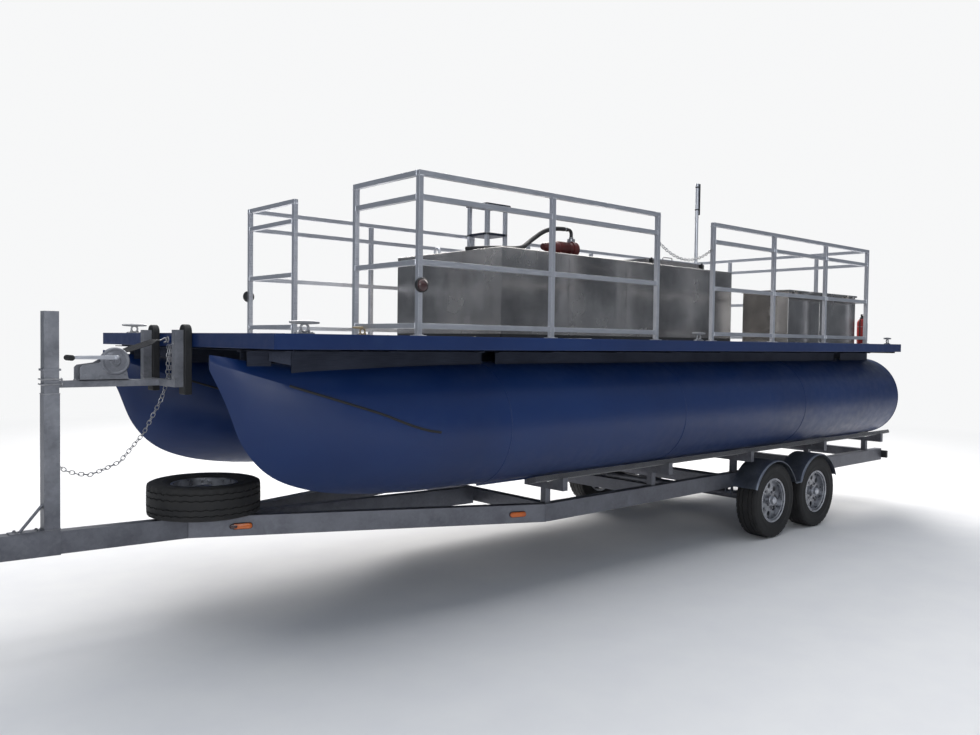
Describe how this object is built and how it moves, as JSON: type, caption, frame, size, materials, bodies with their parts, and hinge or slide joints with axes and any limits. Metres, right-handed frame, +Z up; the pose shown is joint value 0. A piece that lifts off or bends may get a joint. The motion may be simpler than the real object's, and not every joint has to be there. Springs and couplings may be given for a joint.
{
  "type": "work pontoon on a tandem trailer",
  "caption": "Twin-tube aluminium work boat with guard rails, water tank and pump, resting on its bunk trailer with turning wheels, a jack and hinged lids.",
  "frame": {"origin": "on the ground, under the middle of the whole length, on the centre line", "axes": "+X forward to the bow and the coupler, +Y to port, +Z up"},
  "size_m": [9.753, 2.59, 3.33],
  "materials": {
    "hull_blue": "satin blue coating over sheet aluminium",
    "bare_aluminium": "dull mill finish",
    "deck_plate": "tread plate",
    "rail_aluminium": "bright brushed tube",
    "tank_sheet": "mill sheet with a soft mirror",
    "lamp_red": "moulded lens",
    "lamp_amber": "moulded lens",
    "pump_red": "worn enamel",
    "roller_bronze": "tarnished",
    "cleat_metal": "dark cast metal",
    "galvanised": "dull galvanised steel",
    "stop_rubber": "matt black rubber",
    "strap_webbing": "woven strap",
    "bunk_carpet": "marine carpet",
    "wheel_steel": "silver painted wheel",
    "tyre": "road tyre",
    "fender_steel": "galvanised sheet",
    "chain_steel": "zinc plated links"
  },
  "bodies": {
    "root": {"aft_locker": "tank_sheet", "axles": "galvanised", "bow_roller": "roller_bronze", "bow_stops": "galvanised", "bunk_boards": "bunk_carpet", "bunk_brackets": "galvanised", "cleats": "cleat_metal", "console_frame": "rail_aluminium", "coupler": "galvanised", "cross_members": "galvanised", "deck_beams": "bare_aluminium", "deck_fascia": "hull_blue", "deck_floor": "deck_plate", "deck_risers": "bare_aluminium", "fender_port": "fender_steel", "fender_starboard": "fender_steel", "fire_extinguisher": "pump_red", "frame_port": "galvanised", "frame_starboard": "galvanised", "gate_chain": "chain_steel", "jack_tube": "galvanised", "leaf_springs": "galvanised", "light_mast": "rail_aluminium", "motor_transom": "bare_aluminium", "pontoon_port": "hull_blue", "pontoon_starboard": "hull_blue", "pump": "pump_red", "pump_hose": "stop_rubber", "rail_bow_port": "rail_aluminium", "rail_bow_starboard": "rail_aluminium", "rail_port_aft": "rail_aluminium", "rail_port_front": "rail_aluminium", "rail_starboard_aft": "rail_aluminium", "rail_starboard_front": "rail_aluminium", "rail_stern": "rail_aluminium", "safety_chain": "chain_steel", "side_lights": "lamp_red", "side_markers": "lamp_amber", "spare_carrier": "galvanised", "spare_rim": "wheel_steel", "spare_tyre": "tyre", "stop_pads": "stop_rubber", "tail_lights": "lamp_red", "tongue": "galvanised", "water_tank": "tank_sheet", "winch": "galvanised", "winch_arm": "galvanised", "winch_post": "galvanised", "winch_strap": "strap_webbing"},
    "wheel_port_front": {"rim_port_front": "wheel_steel", "tyre_port_front": "tyre"},
    "wheel_port_rear": {"rim_port_rear": "wheel_steel", "tyre_port_rear": "tyre"},
    "wheel_starboard_front": {"rim_starboard_front": "wheel_steel", "tyre_starboard_front": "tyre"},
    "wheel_starboard_rear": {"rim_starboard_rear": "wheel_steel", "tyre_starboard_rear": "tyre"},
    "tank_lid": {"tank_hatch": "tank_sheet"},
    "locker_top": {"locker_lid": "tank_sheet"},
    "jack_foot": {"jack_leg": "galvanised"}
  },
  "joints": [
    {"name": "wheel_port_front_spin", "type": "hinge", "parent": "root", "child": "wheel_port_front", "pos_m": [-2.1315, 1.03, 0.34], "axis": [0, 1, 0], "continuous": true},
    {"name": "wheel_port_rear_spin", "type": "hinge", "parent": "root", "child": "wheel_port_rear", "pos_m": [-2.9165, 1.03, 0.34], "axis": [0, 1, 0], "continuous": true},
    {"name": "wheel_starboard_front_spin", "type": "hinge", "parent": "root", "child": "wheel_starboard_front", "pos_m": [-2.1315, -1.03, 0.34], "axis": [0, 1, 0], "continuous": true},
    {"name": "wheel_starboard_rear_spin", "type": "hinge", "parent": "root", "child": "wheel_starboard_rear", "pos_m": [-2.9165, -1.03, 0.34], "axis": [0, 1, 0], "continuous": true},
    {"name": "tank_hatch_hinge", "type": "hinge", "parent": "root", "child": "tank_lid", "pos_m": [-1.4865, -0.358, 2.4683], "axis": [1, 0, 0], "range_deg": [0, 100]},
    {"name": "locker_lid_hinge", "type": "hinge", "parent": "root", "child": "locker_top", "pos_m": [-3.199, 1.028, 2.2683], "axis": [-1, 0, 0], "range_deg": [0, 90]},
    {"name": "jack_extend", "type": "slide", "parent": "root", "child": "jack_foot", "axis": [0, 0, 1], "range_m": [-0.08, 0.25]}
  ]
}
